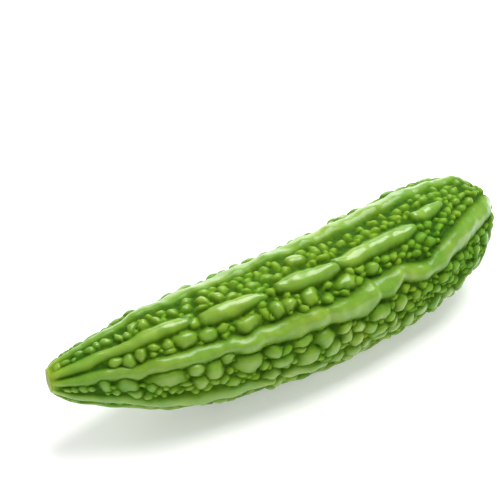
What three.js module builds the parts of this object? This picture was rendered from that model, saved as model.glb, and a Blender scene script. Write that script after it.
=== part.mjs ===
// A bitter gourd, picked, with its stalk cut off flush, lying on its side.
//
// It grew as one piece, so it is one solid. A long spindle bends gently to one side. Eight lengthwise
// ridges run from the stalk scar to the blossom tip, some of them broken into shorter lengths, and
// rounded warts stand in the strips between them. Underneath is the small flat spot that it rests on.
//
// Millimetres, +Z up, +X from the stalk end to the blossom end. The origin is under the middle of the
// gourd, on the surface that it lies on. A place on the skin is given by s, the length along the
// gourd's bent middle line from the stalk end, and by an angle in degrees round that line: 0 is the
// top, and 90 the side that faces -Y, which is the outside of the bend.

import * as THREE from "three";
import { ConvexHull } from "three/addons/math/ConvexHull.js";

// Driving dimensions
const LENGTH = 220; // along the bent middle line
const SCAR_RADIUS = 4.8; // the round cut where the stalk was
const BODY_RADII = [ // s and radius over the tops of the ridges
  [0, SCAR_RADIUS], [4, 7.6], [9, 10.2], [16, 12.7], [24, 15], [40, 20.4], [55, 22.9], [77, 25.7],
  [121, 27.8], [165, 27.8], [198, 24.1], [220, 20],
];
const WIDEST = 27.8; // the largest of those radii
const BLUNTNESS = 20; // a higher power makes the blossom end blunter
const SIDE_BEND = 13; // how far the middle stands out sideways from the line through the ends
const END_LIFT = 5; // how far the ends of the middle line rise above its middle
const FLAT_DEPTH = 1.6; // how much of the lowest bumps is pressed flat underneath
const RELIEF = 3.4; // from the floor of the grooves to the tops of the ridges, where the gourd is widest
const RELIEF_POWER = 0.8; // how fast the relief falls off where the gourd is thinner
const RELIEF_START = 5; // how far from the edge of the scar the relief is full
const TOP_POWER = 2.1; // a higher power makes ridges and warts flatter on top
const SIDE_POWER = 0.9; // a lower power makes their sides steeper at the foot

// Ridges on the sides that the picture shows: s, angle of the crest, half width in degrees
const TOP_RIDGE = [
  [0, -12, 15], [20, -17, 13], [45, -22, 12.5], [80, -24, 13.5], [105, -23.5, 13.5], [115, -21.5, 13.5],
  [150, -19.5, 13], [185, -15, 12], [218, -6, 13],
];
const UPPER_RIDGE = [
  [
    [0, 34, 16], [10, 33, 16], [14, 32, 15.5], [18, 27.5, 12], [23, 26, 11], [30, 25.5, 11.5],
    [40, 21.5, 11], [50, 20.5, 10.5], [54, 20.5, 8],
  ],
  [[61, 25.5, 8], [66, 25, 10.5], [73, 24.5, 10], [80, 23.5, 9], [86, 25.5, 5]],
  [[94, 21.5, 6], [98, 22.5, 9.5], [106, 24, 10.5], [114, 26, 9], [119, 27, 6]],
  [[121, 23.5, 6.5], [128, 24, 9.5], [140, 24, 10.5], [150, 25, 10], [157, 26, 9], [160, 26, 7]],
  [[166, 17.5, 6], [171, 19.5, 8], [177, 19.5, 7.5], [181, 18.5, 5]],
];
const FRONT_RIDGE = [
  [0, 66, 13], [10, 65.5, 13], [14, 62.5, 13.5], [18, 59.5, 13], [22, 60.5, 13], [26, 63, 12],
  [30, 64, 12.5], [35, 60.5, 10.5], [45, 60, 10.5], [52, 60, 11], [60, 60, 10.5], [68, 59.5, 10],
  [73, 63, 11], [80, 61, 11.5], [88, 61, 11.5], [95, 62.5, 13], [100, 61, 11.5], [104, 63, 12],
  [108, 63.5, 9.5], [113, 64, 11.5], [118, 65, 12.5], [124, 66, 15], [128, 64.5, 16], [131, 61, 14.5],
  [134, 60.5, 11.5], [139, 61, 12.5], [146, 58, 10.5], [150, 61, 10.5], [156, 66, 10], [160, 67, 9.5],
  [164, 65.5, 11], [169, 62.5, 12.5], [176, 59, 12.5], [183, 57, 13.5], [190, 54.5, 15.5], [202, 52, 16],
  [218, 48, 15],
];
const LOWER_RIDGE = [
  [
    [0, 110, 15], [15, 113, 14], [30, 115, 13], [45, 116, 13], [60, 116, 12.5], [75, 114, 10],
    [82, 113, 6],
  ],
  [[88, 110, 5], [94, 114, 9.5], [100, 116, 9.5], [106, 117, 6]],
  [[188, 120, 6], [200, 114, 11], [218, 102, 13]],
];

// Ridges on the hidden sides: their mean angles, and how they wander, vary and break off
const HIDDEN_RIDGES = [150, 184, 237, 290];
const HIDDEN_HALF_WIDTH = 9.5;
const HIDDEN_SHARES = [0.85, 1.15]; // least and most of that half width
const HIDDEN_END_SHARE = 1.3; // near the ends of the gourd, where the same angle is a shorter way
const HIDDEN_ENDS = [25, 195];
const HIDDEN_WAVE = 3; // degrees to either side of the mean angle
const HIDDEN_WAVE_LENGTH = 90;
const HIDDEN_ROW_STEP = 12;
const RIDGE_ENDS = [0, 218];
const BREAKS = [60, 160]; // first and last place for the middle of a break
const BREAK_LENGTH = 8;

// Warts in the strips that the picture shows: s, angle, half length, half width
const HIGH_WARTS = [
  [20, 3, 1.6, 1.8], [28, 3, 1.7, 2.3], [34.5, 1, 2, 2.5], [38.5, 6, 1.9, 2.1], [44, 7, 2.1, 2.2],
  [51.5, 2, 2.1, 2.4], [57, 3, 2.2, 2.5], [55.5, 17, 2.7, 2.3], [56.5, 25.5, 2.2, 2.4],
  [63.5, 4, 2.5, 2.7], [70, 7, 2.5, 3], [75.5, 11, 2.7, 2.4], [74, -2, 2, 2.2], [79, -3, 1.9, 2.2],
  [80.5, 5, 1.6, 1.8], [82, 12.5, 2.2, 1.8], [84.5, 1, 1.7, 2.2], [90, -3, 2, 2], [92.5, 5, 3, 2.2],
  [99.5, -2, 1.8, 3], [101, 8, 2.2, 2], [107, 2.5, 4, 3.8], [113, 12, 2, 1.8], [117.5, -1, 2.2, 2.8],
  [118.5, 11.5, 3.4, 2], [123, 0, 2.2, 2.2], [126, 9, 2, 1.8], [130.5, 3, 2, 2], [135.5, 1, 2.1, 2.6],
  [139, 8, 1.8, 1.8], [142.5, -1, 1.8, 2.2], [147, 8, 1.9, 2], [149.5, -1, 1.8, 2], [153, 7, 1.6, 1.8],
  [156, -2, 1.8, 2.2], [159, 9, 2, 1.9], [162.5, 2, 2, 2], [165, 11, 2, 1.6], [167.5, 3, 2.6, 2],
  [173, 7, 2, 2], [176.5, -2, 2.2, 2.2], [182.5, 5, 2.2, 2], [184, 13.5, 2.2, 1.8], [188, -3, 2.1, 2.1],
  [191, 6, 2.4, 2], [196.5, 12, 2.2, 1.9], [197.5, 22, 2.2, 1.8], [201.5, 3, 2.2, 1.8],
  [203, 14, 2.1, 1.8], [204.5, 25, 2, 1.6], [209, 8, 2, 1.6], [210, 20, 2, 1.6], [99.5, 49, 1.8, 2.4],
];
const MIDDLE_WARTS = [
  [28, 47, 2.2, 3], [33, 41.5, 2.4, 2.2], [38.7, 37.5, 2.3, 1.8], [43.7, 38, 2.1, 2], [38, 47, 1.5, 1.4],
  [51, 39, 4.5, 3.1], [60, 41.5, 3.9, 2.8], [66.3, 41, 2.8, 1.8], [75.5, 43, 5.6, 3.3],
  [83.8, 40, 1.6, 2.3], [84, 32, 1.8, 1.7], [88.7, 40.5, 2.8, 3], [94, 40, 3.7, 3], [104, 41, 3.8, 3.6],
  [113, 38.5, 2.5, 1.9], [110.5, 49, 2.8, 2.2], [115.5, 47.5, 1.3, 1.2], [121, 41.5, 5, 3],
  [129.3, 36.5, 2.3, 1.9], [134.3, 41, 2.9, 2.5], [138.3, 35.5, 1.7, 1.6], [142.5, 38.5, 2.5, 1.8],
  [146.3, 40.5, 1.5, 1.4], [149.7, 43, 1.6, 1.5], [153, 47, 1.5, 1.4], [156.8, 48.5, 2.3, 1.9],
  [157, 38.5, 2, 1.6], [162.5, 39, 3, 2], [167.3, 36.5, 1.5, 1.3], [174, 38.5, 2.8, 1.5],
  [179.5, 30, 1.5, 1.6], [183.5, 38, 2.1, 1.8],
];
const LOW_WARTS = [
  [10.5, 82, 1.7, 2], [19, 78, 2.5, 3.4], [26.7, 84, 3.4, 3.3], [34, 89, 1.7, 2.4], [40.5, 77, 7.2, 4.1],
  [48, 95, 1.9, 1.8], [52, 72, 3.2, 2.6], [53, 89.5, 3.3, 3.8], [58.7, 79.5, 3.3, 3.8],
  [64.3, 70.5, 2.8, 2.5], [64.3, 85, 1.6, 1.7], [72.5, 81.5, 6, 4.9], [83.3, 78, 3.8, 3.2],
  [86.7, 91.5, 4.6, 3.5], [95.5, 76.5, 4.2, 2.4], [97.5, 97, 4.8, 5.4], [104.7, 82.5, 4, 4.4],
  [109, 97, 4, 4], [114, 80.5, 3.6, 2.9], [115.7, 92, 3, 3], [121.7, 87, 3.1, 3.1],
  [120.5, 99, 3.4, 3.2], [127, 94, 3.2, 2.8], [132, 83.5, 5, 3.6], [137, 92, 3, 2.6],
  [131.5, 102, 3.6, 3], [140, 101, 3.2, 3], [142.7, 84, 3.6, 3.4], [112, 114, 3.9, 3.6],
  [119.5, 112, 3.8, 3.4], [127, 114, 4, 3.7], [134.5, 113, 4, 3.4], [142, 112, 3.8, 3.6],
  [149.5, 113, 3.9, 3.5], [157, 111, 3.9, 3.6], [164.5, 112, 3.8, 3.4], [172, 110, 3.8, 3.5],
  [179.5, 110, 3.8, 3.4], [187, 108, 3.6, 3.2], [193.5, 105, 3.2, 2.8],
];

// Strips where no other warts are strewn, and one where they are smaller: s and angle from and to
const SHOWN_STRIPS = [
  [5, 146, -15, 102], [146, 215, -15, 60],
];
const FINE_STRIP = [146, 215, 60, 102];
const FINE_SHARE = 0.65;

// Warts strewn over the rest, larger ones first: least and most half width, and how many places are tried
const WART_SIZES = [
  [3.1, 4, 1200],
  [2.3, 3.1, 6000],
];
const WART_ENDS = [9, 3]; // how far from the scar's middle and from the blossom tip they stay
const WART_STRETCH = 0.35; // how much longer than wide a wart may be
const WART_CROWDING = 0.94; // least distance between two warts, as a share of their half widths together
const WART_ON_RIDGE = 0.45; // how much of its half width a wart may stand on a ridge
const WART_RISE = [0.6, 0.9]; // height in millimetres, and more for each millimetre of half width
const FULL_WART_RADIUS = 14.3; // where the gourd is thinner than this, its warts are smaller
const THIN_SHARE = 0.35; // their share of the size where the radius comes to nothing
const WART_SWELL = 1.25; // how far the feet of the warts swell into each other
const SEED = 1871;

// Faces: the lines and rings along which their corners start, and how many there are in the end
const START_SPREAD = 5; // millimetres between the first corners
const RIM_COUNT = 14;
const RIDGE_ROWS = [-1.02, -0.68, 0, 0.68, 1.02]; // lines of corners along a ridge, where 1 is its foot
const RIDGE_STEP = 5.5;
const RING = 0.57; // a ring of corners round a wart, where 1 is its foot
const RING_COUNTS = [6, 7]; // on smaller and on larger warts
const LARGE_WART = 3; // half width
const END_MARGIN = 0.3; // no corner stands nearer to the two poles
const CLOSEST = { rim: 0.5, top: 1, ring: 1.2, ridge: 1.8, spread: 4.5, refined: 0.9 };
const CORNER_COUNT = 5900;
const REFINE_ROUNDS = 8;

const RAD = Math.PI / 180;
const { clamp, lerp } = THREE.MathUtils;

// The smallest turn from one angle to another, in degrees
const turn = (angle) => ((((angle + 180) % 360) + 360) % 360) - 180;

// Evenly spread numbers from 0 to 1, the same each time.
function randomFrom(seed) {
  let state = seed;
  return () => {
    state = (state + 0x6d2b79f5) | 0;
    let t = Math.imul(state ^ (state >>> 15), state | 1);
    t ^= t + Math.imul(t ^ (t >>> 7), t | 61);
    return ((t ^ (t >>> 14)) >>> 0) / 2 ** 32;
  };
}

// A smooth curve through rows that start with their s. It never swings past the values on either side.
function curveThrough(rows, column) {
  const x = rows.map((row) => row[0]);
  const y = rows.map((row) => row[column]);
  const steep = x.slice(1).map((end, i) => (y[i + 1] - y[i]) / (end - x[i]));
  const slope = x.map((_, i) => {
    const before = steep[i - 1] ?? steep[i];
    const after = steep[i] ?? before;
    return before * after > 0 ? (2 * before * after) / (before + after) : 0;
  });
  return (at) => {
    let i = 0;
    while (i < x.length - 2 && at > x[i + 1]) i += 1;
    const step = x[i + 1] - x[i];
    const t = clamp((at - x[i]) / step, 0, 1);
    const swing = step * t * (1 - t) * ((1 - t) * slope[i] - t * slope[i + 1]);
    return lerp(y[i], y[i + 1], t * t * (3 - 2 * t)) + swing;
  };
}

// The profile runs along the skin from the middle of the scar to the blossom tip. Each step of it has its
// length along the skin, its s, its radius, the way that the skin faces (along the middle line and away
// from it), and its latitude on a ball onto which the skin is spread with its small shapes kept true.
const PROFILE_STEP = 0.25;
const TIP_LENGTH = 2; // the last of the length, where the steps get finer
const TIP_STEPS = 60;
const LEAST_RADIUS = 0.05;

function makeProfile() {
  const bodyRadius = curveThrough(BODY_RADII, 1);
  const radiusAt = (s) => bodyRadius(s) * Math.sqrt(1 - (s / LENGTH) ** BLUNTNESS);
  const outline = [];
  for (let r = 0; r < SCAR_RADIUS; r += PROFILE_STEP) outline.push([0, r]);
  for (let s = 0; s <= LENGTH - TIP_LENGTH; s += PROFILE_STEP) outline.push([s, radiusAt(s)]);
  for (let i = 1; i <= TIP_STEPS; i += 1) {
    const s = LENGTH - TIP_LENGTH * (1 - i / TIP_STEPS) ** 2;
    outline.push([s, radiusAt(s)]);
  }
  let along = 0;
  let latitude = 0;
  return outline.map(([s, r], i) => {
    const before = outline[Math.max(i - 1, 0)];
    const after = outline[Math.min(i + 1, outline.length - 1)];
    const span = Math.hypot(after[0] - before[0], after[1] - before[1]);
    const step = Math.hypot(s - before[0], r - before[1]);
    along += step;
    latitude += step / Math.max(LEAST_RADIUS, (before[1] + r) / 2);
    const ahead = (before[1] - after[1]) / span;
    const outward = (after[0] - before[0]) / span;
    return { along, latitude, s, r, ahead, outward };
  });
}

const profile = makeProfile();
const SKIN_LENGTH = profile.at(-1).along;

// The step of the profile at a length along the skin, or at an s or a latitude.
function profileAt(value, key = "along") {
  let low = 0;
  let high = profile.length - 1;
  while (high - low > 1) {
    const middle = (low + high) >> 1;
    if (profile[middle][key] <= value) low = middle;
    else high = middle;
  }
  const before = profile[low];
  const after = profile[high];
  const t = clamp((value - before[key]) / (after[key] - before[key]), 0, 1);
  return Object.fromEntries(Object.keys(before).map((name) => [name, lerp(before[name], after[name], t)]));
}

// How deep the grooves are: less where the gourd is thin, and nothing on the scar.
function reliefAt(place) {
  const started = clamp((place.along - SCAR_RADIUS) / RELIEF_START, 0, 1);
  return RELIEF * (place.r / WIDEST) ** RELIEF_POWER * started;
}

function makeRidge(rows) {
  return {
    start: rows[0][0],
    end: rows.at(-1)[0],
    angle: curveThrough(rows, 1),
    half: curveThrough(rows, 2),
  };
}

// A ridge of the hidden sides wanders to either side of its mean angle, and is broken in one place.
function hiddenRidge(meanAngle) {
  const phase = 360 * random();
  const gap = lerp(...BREAKS, random());
  const rowAt = (s) => {
    const middle = s > HIDDEN_ENDS[0] && s < HIDDEN_ENDS[1];
    const share = middle ? lerp(...HIDDEN_SHARES, random()) : HIDDEN_END_SHARE;
    const angle = meanAngle + HIDDEN_WAVE * Math.sin(((s * 360) / HIDDEN_WAVE_LENGTH + phase) * RAD);
    return [s, angle, HIDDEN_HALF_WIDTH * share];
  };
  const lengths = [[RIDGE_ENDS[0], gap - BREAK_LENGTH / 2], [gap + BREAK_LENGTH / 2, RIDGE_ENDS[1]]];
  return lengths.map(([start, end]) => {
    const count = Math.round((end - start) / HIDDEN_ROW_STEP);
    return makeRidge(Array.from({ length: count + 1 }, (_, i) => rowAt(lerp(start, end, i / count))));
  });
}

const random = randomFrom(SEED);
const ridges = [
  makeRidge(TOP_RIDGE),
  ...UPPER_RIDGE.map(makeRidge),
  makeRidge(FRONT_RIDGE),
  ...LOWER_RIDGE.map(makeRidge),
  ...HIDDEN_RIDGES.flatMap(hiddenRidge),
];

// How far a place is from the crest of a ridge, where 1 is the ridge's foot. Its ends are round.
function acrossRidge(ridge, place, angle) {
  const s = clamp(place.s, ridge.start, ridge.end);
  const half = ridge.half(s);
  const sideways = turn(angle - ridge.angle(s)) / half;
  const beyond = (place.s - s) / (half * RAD * place.r + LEAST_RADIUS);
  return Math.hypot(sideways, beyond);
}

// A wart is an oval dome, and a larger one is higher.
function makeWart(s, angle, halfLength, halfWidth) {
  const height = WART_RISE[0] + WART_RISE[1] * Math.min(halfLength, halfWidth);
  return { ...profileAt(s, "s"), angle, halfLength, halfWidth, height };
}

// How far a place is from the middle of a wart, in two sizes given in millimetres along and round the skin.
function fromWart(wart, place, angle, halfLength, halfWidth) {
  const lengthways = (place.along - wart.along) / halfLength;
  const sideways = (turn(angle - wart.angle) * RAD * wart.r) / halfWidth;
  return Math.hypot(lengthways, sideways);
}

const inStrip = (place, angle, [start, end, from, to]) =>
  place.s > start && place.s < end && angle > from && angle < to;

// Warts are tried at random places, and stay where they neither stand on a ridge nor crowd other warts.
function strewWarts(clearWarts) {
  const warts = [...clearWarts];
  for (const [least, most, tries] of WART_SIZES)
    for (let i = 0; i < tries; i += 1) {
      const place = profileAt(lerp(WART_ENDS[0], SKIN_LENGTH - WART_ENDS[1], random()));
      const angle = turn(360 * random());
      const fineShare = inStrip(place, angle, FINE_STRIP) ? FINE_SHARE : 1;
      const share = lerp(THIN_SHARE, 1, Math.min(1, place.r / FULL_WART_RADIUS)) * fineShare;
      const halfWidth = lerp(least, most, random()) * share;
      const halfLength = halfWidth * (1 + WART_STRETCH * random());
      const shown = SHOWN_STRIPS.some((strip) => inStrip(place, angle, strip));
      const onRidge = ridges.some((ridge) => {
        const clear = (acrossRidge(ridge, place, angle) - 1) * ridge.half(place.s) * RAD * place.r;
        return clear < halfWidth * (1 - WART_ON_RIDGE);
      });
      const crowded = warts.some((wart) => {
        const apart = fromWart(wart, place, angle, halfLength + wart.halfLength, halfWidth + wart.halfWidth);
        return apart < WART_CROWDING;
      });
      if (!shown && !onRidge && !crowded) warts.push(makeWart(place.s, angle, halfLength, halfWidth));
    }
  return warts;
}

const warts = strewWarts([...HIGH_WARTS, ...MIDDLE_WARTS, ...LOW_WARTS].map((row) => makeWart(...row)));

// A rounded bump: 1 in the middle, 0 at its foot and beyond.
const bump = (across) => (across < 1 ? (1 - across ** TOP_POWER) ** SIDE_POWER : 0);

// How far the skin stands above the floor of the grooves.
function riseAt(place, angle) {
  const relief = reliefAt(place);
  const overRidges = ridges.map((ridge) => relief * bump(acrossRidge(ridge, place, angle)));
  const overWarts = warts
    .filter((wart) => Math.abs(place.along - wart.along) < WART_SWELL * wart.halfLength)
    .map((wart) => {
      const across = fromWart(wart, place, angle, wart.halfLength, wart.halfWidth) / WART_SWELL;
      return Math.min(relief, wart.height) * bump(across);
    });
  return Math.max(...overRidges, ...overWarts);
}

// A place on the skin as a point in space. The middle line is an arc in plan, and a parabola in height.
function skinPoint(place, angle) {
  const bend = (8 * SIDE_BEND) / LENGTH ** 2;
  const heading = (place.s - LENGTH / 2) * bend;
  const rise = riseAt(place, angle) - reliefAt(place);
  const ahead = rise * place.ahead;
  const radius = place.r + rise * place.outward;
  const sideways = radius * Math.sin(angle * RAD);
  const height = WIDEST + END_LIFT * ((2 * place.s) / LENGTH - 1) ** 2 + radius * Math.cos(angle * RAD);
  return new THREE.Vector3(
    Math.sin(heading) / bend + ahead * Math.cos(heading) + sideways * Math.sin(heading),
    (1 - Math.cos(heading)) / bend + ahead * Math.sin(heading) - sideways * Math.cos(heading),
    Math.max(height, FLAT_DEPTH),
  );
}

// The corners of the faces. A corner is left out where another stands nearer than it may.
const corners = [];

function addCorner(along, angle, nearest) {
  if (along < END_MARGIN || along > SKIN_LENGTH - END_MARGIN) return;
  const place = profileAt(along);
  const crowded = corners.some((corner) => {
    const lengthways = along - corner.place.along;
    if (Math.abs(lengthways) > nearest) return false;
    return Math.hypot(lengthways, turn(angle - corner.angle) * RAD * place.r) < nearest;
  });
  if (!crowded) corners.push({ place, angle });
}

function addCornersAround(wart) {
  const count = RING_COUNTS[wart.halfWidth > LARGE_WART ? 1 : 0];
  for (let i = 0; i < count; i += 1) {
    const way = (i / count) * 2 * Math.PI;
    const along = wart.along + RING * wart.halfLength * Math.cos(way);
    const aside = (RING * wart.halfWidth * Math.sin(way)) / wart.r / RAD;
    addCorner(along, wart.angle + aside, CLOSEST.ring);
  }
}

// They start on the edge of the scar, on and round each wart, along the ridges, and spread over the rest.
function startCorners() {
  for (let i = 0; i < RIM_COUNT; i += 1) addCorner(SCAR_RADIUS, (i * 360) / RIM_COUNT, CLOSEST.rim);
  for (const wart of warts) addCorner(wart.along, wart.angle, CLOSEST.top);
  for (const wart of warts) addCornersAround(wart);
  for (const ridge of ridges)
    for (const across of RIDGE_ROWS)
      for (let s = ridge.start; s <= ridge.end; s += RIDGE_STEP)
        addCorner(profileAt(s, "s").along, ridge.angle(s) + across * ridge.half(s), CLOSEST.ridge);
  for (let along = SCAR_RADIUS / 2; along < SKIN_LENGTH; along += START_SPREAD) {
    const count = Math.ceil((2 * Math.PI * profileAt(along).r) / START_SPREAD);
    for (let i = 0; i < count; i += 1) addCorner(along, (i * 360) / count, CLOSEST.spread);
  }
}

// The corners are joined as they would be on the ball, where their convex hull gives the faces.
const MIDDLE_LATITUDE = profileAt(SKIN_LENGTH / 2).latitude;

function joinCorners() {
  const ends = [profile[0], profile.at(-1)].map((place) => ({ place, angle: 0 }));
  const onBall = [...corners, ...ends].map(({ place, angle }) => {
    const latitude = place.latitude - MIDDLE_LATITUDE;
    const around = 1 / Math.cosh(latitude);
    const point = new THREE.Vector3(Math.cos(angle * RAD), Math.sin(angle * RAD), 0).multiplyScalar(around);
    point.z = Math.tanh(latitude);
    point.skin = skinPoint(place, angle);
    return point;
  });
  return new ConvexHull().setFromPoints(onBall).faces.map(({ edge }) => [
    edge.head().point,
    edge.next.head().point,
    edge.prev.head().point,
  ]);
}

// Where a face lies furthest from the skin: measured at its middle, near its corners and along its edges.
const SAMPLES = [
  [1 / 3, 1 / 3, 1 / 3],
  [2 / 3, 1 / 6, 1 / 6], [1 / 6, 2 / 3, 1 / 6], [1 / 6, 1 / 6, 2 / 3],
  [1 / 2, 1 / 2, 0], [0, 1 / 2, 1 / 2], [1 / 2, 0, 1 / 2],
];
const NEAREST_POLE = 1 - 1e-12;

function worstPlace(face) {
  const faceOut = new THREE.Triangle(...face.map((point) => point.skin)).getNormal(new THREE.Vector3());
  const places = SAMPLES.map((shares) => {
    const ball = new THREE.Vector3();
    const flat = new THREE.Vector3();
    shares.forEach((share, i) => {
      ball.addScaledVector(face[i], share);
      flat.addScaledVector(face[i].skin, share);
    });
    ball.normalize();
    const latitude = Math.atanh(clamp(ball.z, -NEAREST_POLE, NEAREST_POLE));
    const place = profileAt(MIDDLE_LATITUDE + latitude, "latitude");
    const angle = Math.atan2(ball.y, ball.x) / RAD;
    const gap = Math.abs(skinPoint(place, angle).sub(flat).dot(faceOut));
    return { gap, place, angle };
  });
  return places.reduce((worst, place) => (place.gap > worst.gap ? place : worst));
}

// Round after round, corners are added where the faces lie furthest from the skin.
function refineFaces() {
  let faces = joinCorners();
  for (let round = 0; round < REFINE_ROUNDS; round += 1) {
    const wanted = lerp(corners.length, CORNER_COUNT, 1 / (REFINE_ROUNDS - round));
    const places = faces.map(worstPlace).sort((a, b) => b.gap - a.gap);
    for (const { place, angle } of places) {
      if (corners.length >= wanted) break;
      addCorner(place.along, angle, CLOSEST.refined);
    }
    faces = joinCorners();
  }
  return faces;
}

// The gourd
startCorners();
const geometry = new THREE.BufferGeometry().setFromPoints(refineFaces().flat().map((point) => point.skin));
geometry.computeBoundingBox();
const { min, max } = geometry.boundingBox;
geometry.translate(-(min.x + max.x) / 2, -(min.y + max.y) / 2, -min.z);
geometry.computeVertexNormals();

const skin = new THREE.MeshStandardMaterial({ color: 0x6f9e35, roughness: 0.35, metalness: 0 });
const gourd = new THREE.Mesh(geometry, skin);
gourd.name = "gourd";
const group = new THREE.Group();
group.add(gourd);

export default group;
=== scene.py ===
import math

import bpy
import numpy as np
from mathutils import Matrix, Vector, noise


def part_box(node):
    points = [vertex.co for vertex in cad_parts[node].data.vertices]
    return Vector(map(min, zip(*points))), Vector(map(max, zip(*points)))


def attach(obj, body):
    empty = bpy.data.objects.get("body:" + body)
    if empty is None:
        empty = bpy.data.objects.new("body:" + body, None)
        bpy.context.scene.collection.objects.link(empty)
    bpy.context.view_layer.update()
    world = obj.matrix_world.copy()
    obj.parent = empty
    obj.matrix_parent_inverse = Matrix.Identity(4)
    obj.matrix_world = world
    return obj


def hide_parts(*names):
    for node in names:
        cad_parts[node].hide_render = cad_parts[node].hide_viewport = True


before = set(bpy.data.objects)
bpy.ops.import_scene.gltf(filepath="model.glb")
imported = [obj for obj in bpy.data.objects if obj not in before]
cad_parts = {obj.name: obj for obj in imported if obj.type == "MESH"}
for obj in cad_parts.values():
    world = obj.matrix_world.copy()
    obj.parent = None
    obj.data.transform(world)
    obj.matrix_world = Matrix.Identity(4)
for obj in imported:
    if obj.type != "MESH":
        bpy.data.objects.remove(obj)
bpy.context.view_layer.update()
bpy.ops.object.select_all(action="DESELECT")


# The gourd's body is a fruit that grew as one piece. It is a long spindle with a gentle bend, cut off
# flush at the stalk. It starts as a ball, whose two poles become the middle of the stalk scar and the
# blossom tip. Its sizes are in millimetres, and its angles in degrees: 0 is the top, 90 the front.
MM = 0.001
LENGTH = 220
SCAR_RADIUS = 4.8
BODY_RADII = [
    (0, SCAR_RADIUS), (4, 7.6), (9, 10.2), (16, 12.7), (24, 15), (40, 20.4), (55, 22.9), (77, 25.7),
    (121, 27.8), (165, 27.8), (198, 24.1), (220, 20),
]
WIDEST = 27.8
BLUNTNESS = 20
SIDE_BEND = 13
END_LIFT = 5
FLAT_DEPTH = 1.6
PROFILE_STEP = 0.25
TIP_LENGTH = 2
TIP_STEPS = 60
BALL_SEGMENTS = 320
BALL_RINGS = 460

bpy.ops.mesh.primitive_uv_sphere_add(segments=BALL_SEGMENTS, ring_count=BALL_RINGS, radius=1)
gourd = bpy.context.object
gourd.name = "gourd_skin"
gourd.data.name = "gourd_skin"


def curve_through(rows, column):
    """A smooth curve through rows that start with their s, which never swings past the values beside it."""
    x = np.array([row[0] for row in rows], float)
    y = np.array([row[column] for row in rows], float)
    steep = np.diff(y) / np.diff(x)
    before = np.concatenate([steep[:1], steep])
    after = np.concatenate([steep, steep[-1:]])
    same_way = before * after > 0
    slope = np.where(same_way, 2 * before * after / np.where(same_way, before + after, 1), 0)

    def curve(at):
        i = np.clip(np.searchsorted(x, at, side="left") - 1, 0, len(x) - 2)
        step = x[i + 1] - x[i]
        t = np.clip((at - x[i]) / step, 0, 1)
        swing = step * t * (1 - t) * ((1 - t) * slope[i] - t * slope[i + 1])
        return y[i] + (y[i + 1] - y[i]) * t * t * (3 - 2 * t) + swing

    return curve


def profile_of_gourd():
    """Steps along the skin, from the scar's middle to the tip: length along it, s, radius, and facing."""
    disc = [(0, r) for r in np.arange(0, SCAR_RADIUS, PROFILE_STEP)]
    body = np.arange(0, LENGTH - TIP_LENGTH + PROFILE_STEP / 2, PROFILE_STEP)
    tip = LENGTH - TIP_LENGTH * (1 - np.arange(1, TIP_STEPS + 1) / TIP_STEPS) ** 2
    s = np.concatenate([body, tip])
    radius = curve_through(BODY_RADII, 1)(s) * np.sqrt(np.maximum(0, 1 - (s / LENGTH) ** BLUNTNESS))
    outline = np.array(disc + list(zip(s, radius)))
    steps = np.hypot(*np.diff(outline, axis=0, prepend=outline[:1]).T)
    before = np.concatenate([outline[:1], outline[:-1]])
    after = np.concatenate([outline[1:], outline[-1:]])
    span = np.hypot(*(after - before).T)
    return {
        "along": np.cumsum(steps),
        "s": outline[:, 0],
        "r": outline[:, 1],
        "ahead": (before[:, 1] - after[:, 1]) / span,
        "outward": (after[:, 0] - before[:, 0]) / span,
    }


profile = profile_of_gourd()
SKIN_LENGTH = profile["along"][-1]


def profile_at(value, key="along"):
    return {name: np.interp(value, profile[key], column) for name, column in profile.items()}


def turn(angle):
    """The smallest turn from one angle to another, in degrees."""
    return (angle + 180) % 360 - 180


def space_point(place, angle, rise):
    """Points in millimetres. The middle line is an arc in plan and a parabola in height."""
    bend = 8 * SIDE_BEND / LENGTH**2
    heading = (place["s"] - LENGTH / 2) * bend
    ahead = rise * place["ahead"]
    radius = place["r"] + rise * place["outward"]
    sideways = radius * np.sin(np.radians(angle))
    lift = END_LIFT * (2 * place["s"] / LENGTH - 1) ** 2
    return np.column_stack([
        np.sin(heading) / bend + ahead * np.cos(heading) + sideways * np.sin(heading),
        (1 - np.cos(heading)) / bend + ahead * np.sin(heading) - sideways * np.cos(heading),
        np.maximum(WIDEST + lift + radius * np.cos(np.radians(angle)), FLAT_DEPTH),
    ])


ball = np.empty(len(gourd.data.vertices) * 3)
gourd.data.vertices.foreach_get("co", ball)
ball = ball.reshape(-1, 3)
skin_along = SKIN_LENGTH * np.arccos(np.clip(-ball[:, 2], -1, 1)) / math.pi
skin_angle = np.degrees(np.arctan2(ball[:, 1], ball[:, 0]))
skin_place = profile_at(skin_along)
smooth_points = space_point(skin_place, skin_angle, 0)


# Eight ridges run from the scar to the tip. They are rounded like ropes, and some are broken into
# lengths. Those of the front and top run as the real gourd's do. The rest wander a little.
TOP_RIDGE = [
    (0, -12, 15), (20, -17, 13), (45, -22, 12.5), (80, -24, 13.5), (105, -23.5, 13.5),
    (115, -21.5, 13.5), (150, -19.5, 13), (185, -15, 12), (218, -6, 13),
]
UPPER_RIDGE = [
    [
        (0, 34, 16), (10, 33, 16), (14, 32, 15.5), (18, 27.5, 12), (23, 26, 11), (30, 25.5, 11.5),
        (40, 21.5, 11), (50, 20.5, 10.5), (54, 20.5, 8),
    ],
    [(61, 25.5, 8), (66, 25, 10.5), (73, 24.5, 10), (80, 23.5, 9), (86, 25.5, 5)],
    [(94, 21.5, 6), (98, 22.5, 9.5), (106, 24, 10.5), (114, 26, 9), (119, 27, 6)],
    [(121, 23.5, 6.5), (128, 24, 9.5), (140, 24, 10.5), (150, 25, 10), (157, 26, 9), (160, 26, 7)],
    [(166, 17.5, 6), (171, 19.5, 8), (177, 19.5, 7.5), (181, 18.5, 5)],
]
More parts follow.
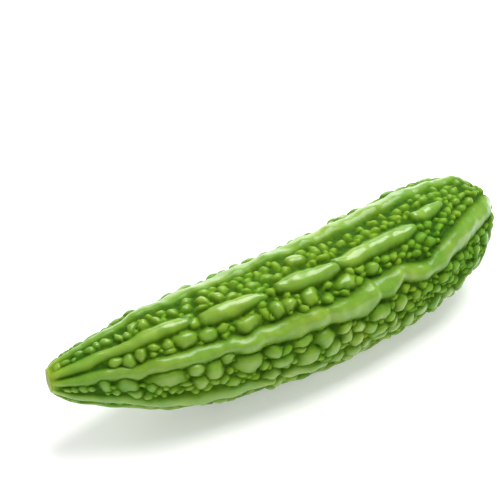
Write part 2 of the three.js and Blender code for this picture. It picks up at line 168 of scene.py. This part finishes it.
FRONT_RIDGE = [
    (0, 66, 13), (10, 65.5, 13), (14, 62.5, 13.5), (18, 59.5, 13), (22, 60.5, 13), (26, 63, 12),
    (30, 64, 12.5), (35, 60.5, 10.5), (45, 60, 10.5), (52, 60, 11), (60, 60, 10.5), (68, 59.5, 10),
    (73, 63, 11), (80, 61, 11.5), (88, 61, 11.5), (95, 62.5, 13), (100, 61, 11.5), (104, 63, 12),
    (108, 63.5, 9.5), (113, 64, 11.5), (118, 65, 12.5), (124, 66, 15), (128, 64.5, 16), (131, 61, 14.5),
    (134, 60.5, 11.5), (139, 61, 12.5), (146, 58, 10.5), (150, 61, 10.5), (156, 66, 10), (160, 67, 9.5),
    (164, 65.5, 11), (169, 62.5, 12.5), (176, 59, 12.5), (183, 57, 13.5), (190, 54.5, 15.5),
    (202, 52, 16), (218, 48, 15),
]
LOWER_RIDGE = [
    [
        (0, 110, 15), (15, 113, 14), (30, 115, 13), (45, 116, 13), (60, 116, 12.5), (75, 114, 10),
        (82, 113, 6),
    ],
    [(88, 110, 5), (94, 114, 9.5), (100, 116, 9.5), (106, 117, 6)],
    [(188, 120, 6), (200, 114, 11), (218, 102, 13)],
]
HIDDEN_RIDGES = [150, 184, 237, 290]
HIDDEN_HALF_WIDTH = 9.5
HIDDEN_SHARES = (0.85, 1.15)
HIDDEN_END_SHARE = 1.3
HIDDEN_ENDS = (25, 195)
HIDDEN_WAVE = 3
HIDDEN_WAVE_LENGTH = 90
HIDDEN_ROW_STEP = 12
RIDGE_ENDS = (0, 218)
BREAKS = (60, 160)
BREAK_LENGTH = 8
SEED = 1871


def random_numbers(seed):
    """Evenly spread numbers from 0 to 1, the same each time."""
    whole = 0xFFFFFFFF
    state = seed
    while True:
        state = (state + 0x6D2B79F5) & whole
        t = ((state ^ (state >> 15)) * (state | 1)) & whole
        t ^= (t + ((t ^ (t >> 7)) * (t | 61))) & whole
        yield ((t ^ (t >> 14)) & whole) / 2**32


draws = random_numbers(SEED)


def draw_between(low, high):
    return low + (high - low) * next(draws)


def make_ridge(rows):
    return {
        "start": rows[0][0],
        "end": rows[-1][0],
        "angle": curve_through(rows, 1),
        "half": curve_through(rows, 2),
    }


def hidden_ridge(mean_angle):
    """A ridge that wanders to either side of its mean angle, and is broken in one place."""
    phase = 360 * next(draws)
    gap = draw_between(*BREAKS)
    lengths = []
    for start, end in [(RIDGE_ENDS[0], gap - BREAK_LENGTH / 2), (gap + BREAK_LENGTH / 2, RIDGE_ENDS[1])]:
        rows = []
        for s in np.linspace(start, end, math.floor((end - start) / HIDDEN_ROW_STEP + 0.5) + 1):
            middle = HIDDEN_ENDS[0] < s < HIDDEN_ENDS[1]
            share = draw_between(*HIDDEN_SHARES) if middle else HIDDEN_END_SHARE
            wave = math.sin(math.radians(s * 360 / HIDDEN_WAVE_LENGTH + phase))
            rows.append((s, mean_angle + HIDDEN_WAVE * wave, HIDDEN_HALF_WIDTH * share))
        lengths.append(make_ridge(rows))
    return lengths


ridges = [make_ridge(rows) for rows in [TOP_RIDGE, *UPPER_RIDGE, FRONT_RIDGE, *LOWER_RIDGE]]
for mean_angle in HIDDEN_RIDGES:
    ridges += hidden_ridge(mean_angle)


def across_ridge(ridge, place, angle):
    """How far places are from the crest of a ridge, where 1 is the ridge's foot. Its ends are round."""
    s = np.clip(place["s"], ridge["start"], ridge["end"])
    half = ridge["half"](s)
    sideways = turn(angle - ridge["angle"](s)) / half
    beyond = (place["s"] - s) / (np.radians(half) * place["r"] + 0.05)
    return np.hypot(sideways, beyond)


# The warts are rounded pebbles of the same flesh. In the strips that the picture shows, they stand where
# the real gourd's do: small ones near the top, large ones at the front and below. The others are strewn,
# large ones first, and beads fill the grooves.
HIGH_WARTS = [
    (20, 3, 1.6, 1.8), (28, 3, 1.7, 2.3), (34.5, 1, 2, 2.5), (38.5, 6, 1.9, 2.1), (44, 7, 2.1, 2.2),
    (51.5, 2, 2.1, 2.4), (57, 3, 2.2, 2.5), (55.5, 17, 2.7, 2.3), (56.5, 25.5, 2.2, 2.4),
    (63.5, 4, 2.5, 2.7), (70, 7, 2.5, 3), (75.5, 11, 2.7, 2.4), (74, -2, 2, 2.2), (79, -3, 1.9, 2.2),
    (80.5, 5, 1.6, 1.8), (82, 12.5, 2.2, 1.8), (84.5, 1, 1.7, 2.2), (90, -3, 2, 2), (92.5, 5, 3, 2.2),
    (99.5, -2, 1.8, 3), (101, 8, 2.2, 2), (107, 2.5, 4, 3.8), (113, 12, 2, 1.8), (117.5, -1, 2.2, 2.8),
    (118.5, 11.5, 3.4, 2), (123, 0, 2.2, 2.2), (126, 9, 2, 1.8), (130.5, 3, 2, 2), (135.5, 1, 2.1, 2.6),
    (139, 8, 1.8, 1.8), (142.5, -1, 1.8, 2.2), (147, 8, 1.9, 2), (149.5, -1, 1.8, 2), (153, 7, 1.6, 1.8),
    (156, -2, 1.8, 2.2), (159, 9, 2, 1.9), (162.5, 2, 2, 2), (165, 11, 2, 1.6), (167.5, 3, 2.6, 2),
    (173, 7, 2, 2), (176.5, -2, 2.2, 2.2), (182.5, 5, 2.2, 2), (184, 13.5, 2.2, 1.8),
    (188, -3, 2.1, 2.1), (191, 6, 2.4, 2), (196.5, 12, 2.2, 1.9), (197.5, 22, 2.2, 1.8),
    (201.5, 3, 2.2, 1.8), (203, 14, 2.1, 1.8), (204.5, 25, 2, 1.6), (209, 8, 2, 1.6), (210, 20, 2, 1.6),
    (99.5, 49, 1.8, 2.4),
]
MIDDLE_WARTS = [
    (28, 47, 2.2, 3), (33, 41.5, 2.4, 2.2), (38.7, 37.5, 2.3, 1.8), (43.7, 38, 2.1, 2),
    (38, 47, 1.5, 1.4), (51, 39, 4.5, 3.1), (60, 41.5, 3.9, 2.8), (66.3, 41, 2.8, 1.8),
    (75.5, 43, 5.6, 3.3), (83.8, 40, 1.6, 2.3), (84, 32, 1.8, 1.7), (88.7, 40.5, 2.8, 3),
    (94, 40, 3.7, 3), (104, 41, 3.8, 3.6), (113, 38.5, 2.5, 1.9), (110.5, 49, 2.8, 2.2),
    (115.5, 47.5, 1.3, 1.2), (121, 41.5, 5, 3), (129.3, 36.5, 2.3, 1.9), (134.3, 41, 2.9, 2.5),
    (138.3, 35.5, 1.7, 1.6), (142.5, 38.5, 2.5, 1.8), (146.3, 40.5, 1.5, 1.4), (149.7, 43, 1.6, 1.5),
    (153, 47, 1.5, 1.4), (156.8, 48.5, 2.3, 1.9), (157, 38.5, 2, 1.6), (162.5, 39, 3, 2),
    (167.3, 36.5, 1.5, 1.3), (174, 38.5, 2.8, 1.5), (179.5, 30, 1.5, 1.6), (183.5, 38, 2.1, 1.8),
]
LOW_WARTS = [
    (10.5, 82, 1.7, 2), (19, 78, 2.5, 3.4), (26.7, 84, 3.4, 3.3), (34, 89, 1.7, 2.4),
    (40.5, 77, 7.2, 4.1), (48, 95, 1.9, 1.8), (52, 72, 3.2, 2.6), (53, 89.5, 3.3, 3.8),
    (58.7, 79.5, 3.3, 3.8), (64.3, 70.5, 2.8, 2.5), (64.3, 85, 1.6, 1.7), (72.5, 81.5, 6, 4.9),
    (83.3, 78, 3.8, 3.2), (86.7, 91.5, 4.6, 3.5), (95.5, 76.5, 4.2, 2.4), (97.5, 97, 4.8, 5.4),
    (104.7, 82.5, 4, 4.4), (109, 97, 4, 4), (114, 80.5, 3.6, 2.9), (115.7, 92, 3, 3),
    (121.7, 87, 3.1, 3.1), (120.5, 99, 3.4, 3.2), (127, 94, 3.2, 2.8), (132, 83.5, 5, 3.6),
    (137, 92, 3, 2.6), (131.5, 102, 3.6, 3), (140, 101, 3.2, 3), (142.7, 84, 3.6, 3.4),
    (112, 114, 3.9, 3.6), (119.5, 112, 3.8, 3.4), (127, 114, 4, 3.7), (134.5, 113, 4, 3.4),
    (142, 112, 3.8, 3.6), (149.5, 113, 3.9, 3.5), (157, 111, 3.9, 3.6), (164.5, 112, 3.8, 3.4),
    (172, 110, 3.8, 3.5), (179.5, 110, 3.8, 3.4), (187, 108, 3.6, 3.2), (193.5, 105, 3.2, 2.8),
]
SHOWN_STRIPS = [
    (5, 146, -15, 102), (146, 215, -15, 60),
]
FINE_STRIP = (146, 215, 60, 102)
FINE_SHARE = 0.65
WART_SIZES = [(3.1, 4, 1200), (2.3, 3.1, 6000)]
BEAD_SIZES = [(1.6, 2.3, 7000), (1.0, 1.6, 6000)]
WART_ENDS = (9, 3)
WART_STRETCH = 0.35
WART_CROWDING = 0.94
BEAD_CROWDING = 0.8
WART_ON_RIDGE = 0.45
WART_RISE = (0.6, 0.9)
FULL_WART_RADIUS = 14.3
THIN_SHARE = 0.35


def in_strip(place, angle, strip):
    return (place["s"] > strip[0]) & (place["s"] < strip[1]) & (angle > strip[2]) & (angle < strip[3])


def make_warts(rows):
    """A row for each wart: along, angle, half length, half width, radius of the gourd there, and height."""
    s, angle, half_length, half_width = np.array(rows).T
    place = profile_at(s, "s")
    height = WART_RISE[0] + WART_RISE[1] * np.minimum(half_length, half_width)
    return np.column_stack([place["along"], angle, half_length, half_width, place["r"], height])


def strew_warts(warts, sizes, crowding, bare_strips):
    """Warts are tried at random places, and stay where they neither stand on a ridge nor crowd others."""
    for least, most, tries in sizes:
        shares = np.array([next(draws) for _ in range(4 * tries)]).reshape(-1, 4)
        share_along, share_round, share_size, share_stretch = shares.T
        along = WART_ENDS[0] + (SKIN_LENGTH - WART_ENDS[1] - WART_ENDS[0]) * share_along
        angle = turn(360 * share_round)
        place = profile_at(along)
        share = THIN_SHARE + (1 - THIN_SHARE) * np.minimum(1, place["r"] / FULL_WART_RADIUS)
        share *= np.where(in_strip(place, angle, FINE_STRIP), FINE_SHARE, 1)
        half_width = (least + (most - least) * share_size) * share
        half_length = half_width * (1 + WART_STRETCH * share_stretch)
        clear = np.min([
            (across_ridge(ridge, place, angle) - 1) * np.radians(ridge["half"](place["s"])) * place["r"]
            for ridge in ridges
        ], axis=0)
        free = clear >= half_width * (1 - WART_ON_RIDGE)
        for strip in bare_strips:
            free &= ~in_strip(place, angle, strip)
        for i in np.flatnonzero(free):
            lengthways = (along[i] - warts[:, 0]) / (half_length[i] + warts[:, 2])
            sideways = np.radians(turn(angle[i] - warts[:, 1])) * warts[:, 4] / (half_width[i] + warts[:, 3])
            if np.hypot(lengthways, sideways).min() >= crowding:
                new_wart = make_warts([(place["s"][i], angle[i], half_length[i], half_width[i])])
                warts = np.concatenate([warts, new_wart])
    return warts


warts = make_warts(HIGH_WARTS + MIDDLE_WARTS + LOW_WARTS)
warts = strew_warts(warts, WART_SIZES, WART_CROWDING, SHOWN_STRIPS)
warts = strew_warts(warts, BEAD_SIZES, BEAD_CROWDING, [])


# The skin is raised over the ridges and warts, and creased where two of them meet. Nothing on it is quite
# regular: outlines wander, crests are lumpy, and a few shallow joints cross the ridge at the front.
RELIEF = 3.4
RELIEF_POWER = 0.8
RELIEF_START = 5
TOP_POWER = 2.1
SIDE_POWER = 0.7
WART_SWELL = 1.25
FLOOR_SHARE = 0.15
HIGH_FLOOR_SHARE = 0.15
HIGH_STRIP = (2, 17)  # its middle and its half width
COARSE_WANDER = (1.4, 7)  # how far an outline wanders, and over what length
FINE_WANDER = (0.6, 2.6)
RIDGE_WANDER = 0.5  # how much less the ridges do so
KNOBS = (0.65, 4.5)
LUMPS = (1.4, 10)
SWELLS = (0.8, 30)
GRAINS = (0.9, 1.8)
CREASE_DEPTH = 0.5
CREASE_WIDTH = 0.7
FACES_LEFT = 0.66
SCAR_ROUNDING = (0.5, 1.5)  # how deep the edge of the scar is worn down, and over what width
JOINTS = [(80, 0.35), (107.8, 0.8), (133, 0.9), (147, 0.5)]  # s and depth
JOINT_WIDTH = 1.3
JOINT_LEAN = 0.05  # how far s moves for each degree
JOINT_ANGLES = (61, 16)  # the middle of the front ridge and half its width


noise.seed_set(SEED)


def wandering(points, size, length, seed):
    """Noise vectors of about that size, which change over that length."""
    shift = Vector((seed, 2 * seed, 3 * seed))
    return size * np.array([noise.noise_vector(Vector(point) / length + shift) for point in points])


def bump(across):
    """A rounded bump: 1 in the middle, 0 at its foot and beyond."""
    return np.maximum(0, 1 - np.minimum(across, 1) ** TOP_POWER) ** SIDE_POWER


def relief_at(place):
    started = np.clip((place["along"] - SCAR_RADIUS) / RELIEF_START, 0, 1)
    return RELIEF * (place["r"] / WIDEST) ** RELIEF_POWER * started


def wandered(wander):
    """The places on the skin, and their angles, moved by that many millimetres."""
    place = profile_at(np.clip(skin_along + wander[:, 0], 0, SKIN_LENGTH))
    return place, skin_angle + np.degrees(wander[:, 1] / np.maximum(skin_place["r"], 2))


coarse = wandering(smooth_points, *COARSE_WANDER, seed=1)
relief = relief_at(skin_place)
first = np.zeros(len(relief))
second = np.zeros(len(relief))
crown = np.zeros(len(relief))
place, angle = wandered(RIDGE_WANDER * coarse)
for ridge in ridges:
    share = bump(across_ridge(ridge, place, angle))
    over = relief * share
    second = np.maximum(second, np.minimum(first, over))
    first = np.maximum(first, over)
    crown = np.maximum(crown, share)
place, angle = wandered(coarse + wandering(smooth_points, *FINE_WANDER, seed=6))
for along, wart_angle, half_length, half_width, radius, wart_height in warts:
    near = np.flatnonzero(np.abs(place["along"] - along) < WART_SWELL * half_length)
    lengthways = (place["along"][near] - along) / half_length
    sideways = np.radians(turn(angle[near] - wart_angle)) * radius / half_width
    share = bump(np.hypot(lengthways, sideways) / WART_SWELL)
    over = np.minimum(relief[near], wart_height) * share
    crown[near] = np.where(over > first[near], share, crown[near])
    second[near] = np.maximum(second[near], np.minimum(first[near], over))
    first[near] = np.maximum(first[near], over)
high_strip = np.exp(-(turn(skin_angle - HIGH_STRIP[0]) / HIGH_STRIP[1]) ** 4)
floor_rise = relief * (FLOOR_SHARE + HIGH_FLOOR_SHARE * high_strip)
crease = np.exp(-((first - second) / CREASE_WIDTH) ** 2) * np.clip((second - floor_rise) / CREASE_WIDTH, 0, 1)
crease *= relief / RELIEF
depth = np.maximum(relief - np.maximum(first, floor_rise), 0) + CREASE_DEPTH * crease
height = 1 - depth / np.maximum(relief, 1.2)
lumps = sum(
    wandering(smooth_points, size, length, seed)[:, 0]
    for seed, (size, length) in enumerate([LUMPS, SWELLS, KNOBS], start=2)
)
grains = wandering(smooth_points, *GRAINS, seed=5)[:, 0] * np.clip(1.3 - 1.5 * height, 0, 1)
away = turn(skin_angle - JOINT_ANGLES[0])
for s, joint_depth in JOINTS:
    across = (skin_place["s"] - s - JOINT_LEAN * away) / JOINT_WIDTH
    depth += joint_depth * np.exp(-(across**2) - (away / JOINT_ANGLES[1]) ** 4)
depth += SCAR_ROUNDING[0] * np.exp(-((skin_along - SCAR_RADIUS) / SCAR_ROUNDING[1]) ** 2)
skin_points = space_point(skin_place, skin_angle, (lumps + grains) * relief / RELIEF - depth)

low, high = skin_points.min(axis=0), skin_points.max(axis=0)
cad_low, cad_high = (np.array(corner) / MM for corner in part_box("gourd"))
middle_shift = (cad_low + cad_high) / 2 - (low + high) / 2
skin_points += [middle_shift[0], middle_shift[1], cad_low[2] - low[2]]
gourd.data.vertices.foreach_set("co", (skin_points * MM).ravel())
rim = np.clip(1 - (skin_along - SCAR_RADIUS) / RELIEF_START, 0, 1)
for name, values in {
    "height": height,
    "crown": np.maximum(crown, rim),
    "crease": crease,
    "along": skin_along,
}.items():
    layer = gourd.data.attributes.new(name, "FLOAT", "POINT")
    layer.data.foreach_set("value", values.astype(np.float32))

bpy.ops.object.modifier_add(type="DECIMATE")
gourd.modifiers[-1].ratio = FACES_LEFT
bpy.ops.object.modifier_apply(modifier=gourd.modifiers[-1].name)
bpy.ops.object.shade_smooth()
gourd.select_set(False)


# The skin is thin, waxy and a little see-through. It is light yellow-green on the crests of the ridges
# and warts and deep green down in the grooves: partly its own tone, partly painted light on the crests
# and painted shade in the grooves, with more painted shade in the creases where two bumps meet. The cut
# scar is dry and pale, and the tip is brown.
skin = bpy.data.materials.new("gourd_skin")
skin.use_nodes = True
nodes = skin.node_tree.nodes
links = skin.node_tree.links
surface = nodes["Principled BSDF"]
surface.inputs["Specular IOR Level"].default_value = 0.12
surface.inputs["Subsurface Weight"].default_value = 0.12
surface.inputs["Subsurface Radius"].default_value = (0.7, 1.0, 0.2)
surface.inputs["Subsurface Scale"].default_value = 0.0015
surface.inputs["Coat Roughness"].default_value = 0.2

place_on_skin = nodes.new("ShaderNodeTexCoord")


def attribute(name):
    reader = nodes.new("ShaderNodeAttribute")
    reader.attribute_name = name
    return reader.outputs["Fac"]


def mottling(per_metre, detail):
    texture = nodes.new("ShaderNodeTexNoise")
    texture.inputs["Scale"].default_value = per_metre
    texture.inputs["Detail"].default_value = detail
    links.new(place_on_skin.outputs["Object"], texture.inputs["Vector"])
    return texture.outputs["Fac"]


def ramp(value, stops):
    node = nodes.new("ShaderNodeValToRGB")
    while len(node.color_ramp.elements) < len(stops):
        node.color_ramp.elements.new(0.5)
    for element, (position, color) in zip(node.color_ramp.elements, stops):
        element.position = position
        element.color = (*color, 1)
    links.new(value, node.inputs["Fac"])
    return node.outputs["Color"]


def mapped(value, from_low, from_high, to_low, to_high):
    node = nodes.new("ShaderNodeMapRange")
    for i, number in enumerate((from_low, from_high, to_low, to_high), start=1):
        node.inputs[i].default_value = number
    links.new(value, node.inputs["Value"])
    return node.outputs["Result"]


def mixed(kind, share, first, second):
    node = nodes.new("ShaderNodeMix")
    node.data_type = "RGBA"
    node.blend_type = kind
    for socket, value in zip(("Factor", "A", "B"), (share, first, second)):
        target = next(s for s in node.inputs if s.name == socket and s.enabled)
        if isinstance(value, bpy.types.NodeSocket):
            links.new(value, target)
        else:
            target.default_value = value
    return next(s for s in node.outputs if s.enabled)


height_on_skin = attribute("height")
# Partly the skin's own tone, partly painted light and shade: crests of ridges and warts lighter, grooves deep
# green.
crown_tone_and_painted_shade = ramp(attribute("crown"), [
    (0.0, (0.032, 0.1, 0.001)),
    (0.35, (0.06, 0.14, 0.001)),
    (0.7, (0.125, 0.26, 0.008)),
    (1.0, (0.19, 0.345, 0.02)),
])
patches = ramp(mottling(45, 3), [(0.3, (0.75, 0.92, 0.8)), (0.7, (1.15, 1.03, 1.1))])
freckles = ramp(mottling(420, 3), [(0.3, (0.93, 0.95, 0.9)), (0.7, (1.06, 1.04, 1.08))])
tints = ramp(mottling(150, 2), [(0.35, (0.86, 0.94, 0.8)), (0.65, (1.13, 1.06, 1.15))])
patched = mixed("MULTIPLY", 1.0, crown_tone_and_painted_shade, patches)
tinted = mixed("MULTIPLY", 1.0, patched, tints)
freckled = mixed("MULTIPLY", 1.0, tinted, freckles)
# Painted shade: the creases where two bumps meet are darkened in the colour.
painted_crease_shade = mixed("MULTIPLY", attribute("crease"), freckled, (0.45, 0.62, 0.2, 1))
along = attribute("along")
deepened = mixed("MULTIPLY", mapped(along, 140, SKIN_LENGTH - 10, 0, 1), painted_crease_shade, (0.74, 0.87, 0.65, 1))
yellowed = mixed("MULTIPLY", mapped(along, 2, 14, 1, 0), deepened, (1.6, 1.35, 0.6, 1))
scar_rings = ramp(mapped(along, 0, SCAR_RADIUS, 0, 1), [
    (0.0, (0.12, 0.12, 0.03)),
    (0.3, (0.26, 0.28, 0.06)),
    (0.7, (0.31, 0.38, 0.06)),
    (1.0, (0.25, 0.41, 0.03)),
])
fibres = ramp(mottling(2200, 2), [(0.35, (0.75, 0.75, 0.7)), (0.65, (1.1, 1.1, 1.05))])
scar = mixed("MULTIPLY", 1.0, scar_rings, fibres)
scarred = mixed("MIX", mapped(along, SCAR_RADIUS - 1.4, SCAR_RADIUS + 1.6, 1, 0), yellowed, scar)
tip = mapped(along, SKIN_LENGTH - 7, SKIN_LENGTH - 1, 0, 1)
tipped = mixed("MIX", tip, scarred, (0.17, 0.13, 0.045, 1))
links.new(tipped, surface.inputs["Base Color"])
off_scar = mapped(along, SCAR_RADIUS, SCAR_RADIUS + 3, 0, 1)
waxy = nodes.new("ShaderNodeMath")
waxy.operation = "MULTIPLY"
links.new(off_scar, waxy.inputs[0])
links.new(mapped(height_on_skin, 0.6, 1.0, 0.0, 1.0), waxy.inputs[1])
links.new(waxy.outputs["Value"], surface.inputs["Coat Weight"])
links.new(mapped(height_on_skin, 0.3, 0.9, 0.8, 0.45), surface.inputs["Roughness"])

pores = nodes.new("ShaderNodeBump")
pores.inputs["Distance"].default_value = 0.0003
pores.inputs["Strength"].default_value = 0.25
links.new(mottling(1500, 2), pores.inputs["Height"])
links.new(pores.outputs["Normal"], surface.inputs["Normal"])

gourd.data.materials.append(skin)
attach(gourd, "root")
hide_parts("gourd")


# The gourd lies on a plain white floor, under a large soft light from above and a weak one from behind.
bpy.ops.mesh.primitive_plane_add(size=6)
floor = bpy.context.object
floor.name = "floor"
floor.select_set(False)
white = bpy.data.materials.new("white_floor")
white.use_nodes = True
white.node_tree.nodes["Principled BSDF"].inputs["Base Color"].default_value = (0.8, 0.8, 0.8, 1)
white.node_tree.nodes["Principled BSDF"].inputs["Roughness"].default_value = 0.9
white.node_tree.nodes["Principled BSDF"].inputs["Emission Color"].default_value = (1, 1, 1, 1)
white.node_tree.nodes["Principled BSDF"].inputs["Emission Strength"].default_value = 0.35
floor.data.materials.append(white)

world = bpy.data.worlds.new("studio")
world.use_nodes = True
world.node_tree.nodes["Background"].inputs["Color"].default_value = (1, 1, 1, 1)
world.node_tree.nodes["Background"].inputs["Strength"].default_value = 0.55
bpy.context.scene.world = world


def soft_light(name, place, aim, size, power):
    bpy.ops.object.light_add(type="AREA", location=place)
    light = bpy.context.object
    light.name = name
    light.data.size = size
    light.data.energy = power
    light.rotation_euler = (Vector(place) - Vector(aim)).to_track_quat("Z", "Y").to_euler()
    light.select_set(False)


soft_light("light_above", (0.35, 0.08, 1.0), (0, 0, 0), 0.8, 15)
soft_light("light_behind", (0.45, 0.9, 0.4), (0, 0, 0.05), 0.7, 3)


# The camera looks down on the gourd from the front, as in the photograph.
CAMERA_AIM = (0.0311, 0.0761, -0.0016)
CAMERA_DISTANCE = 0.7
CAMERA_AZIMUTH = -35
CAMERA_ELEVATION = 35
CAMERA_LENS = 108.1

azimuth = math.radians(CAMERA_AZIMUTH)
elevation = math.radians(CAMERA_ELEVATION)
backwards = Vector((
    math.sin(azimuth) * math.cos(elevation),
    -math.cos(azimuth) * math.cos(elevation),
    math.sin(elevation),
))
bpy.ops.object.camera_add(location=Vector(CAMERA_AIM) + CAMERA_DISTANCE * backwards)
camera = bpy.context.object
camera.rotation_euler = backwards.to_track_quat("Z", "Y").to_euler()
camera.data.lens = CAMERA_LENS
camera.data.sensor_width = 36
bpy.context.scene.camera = camera
bpy.context.scene.view_settings.view_transform = "Standard"
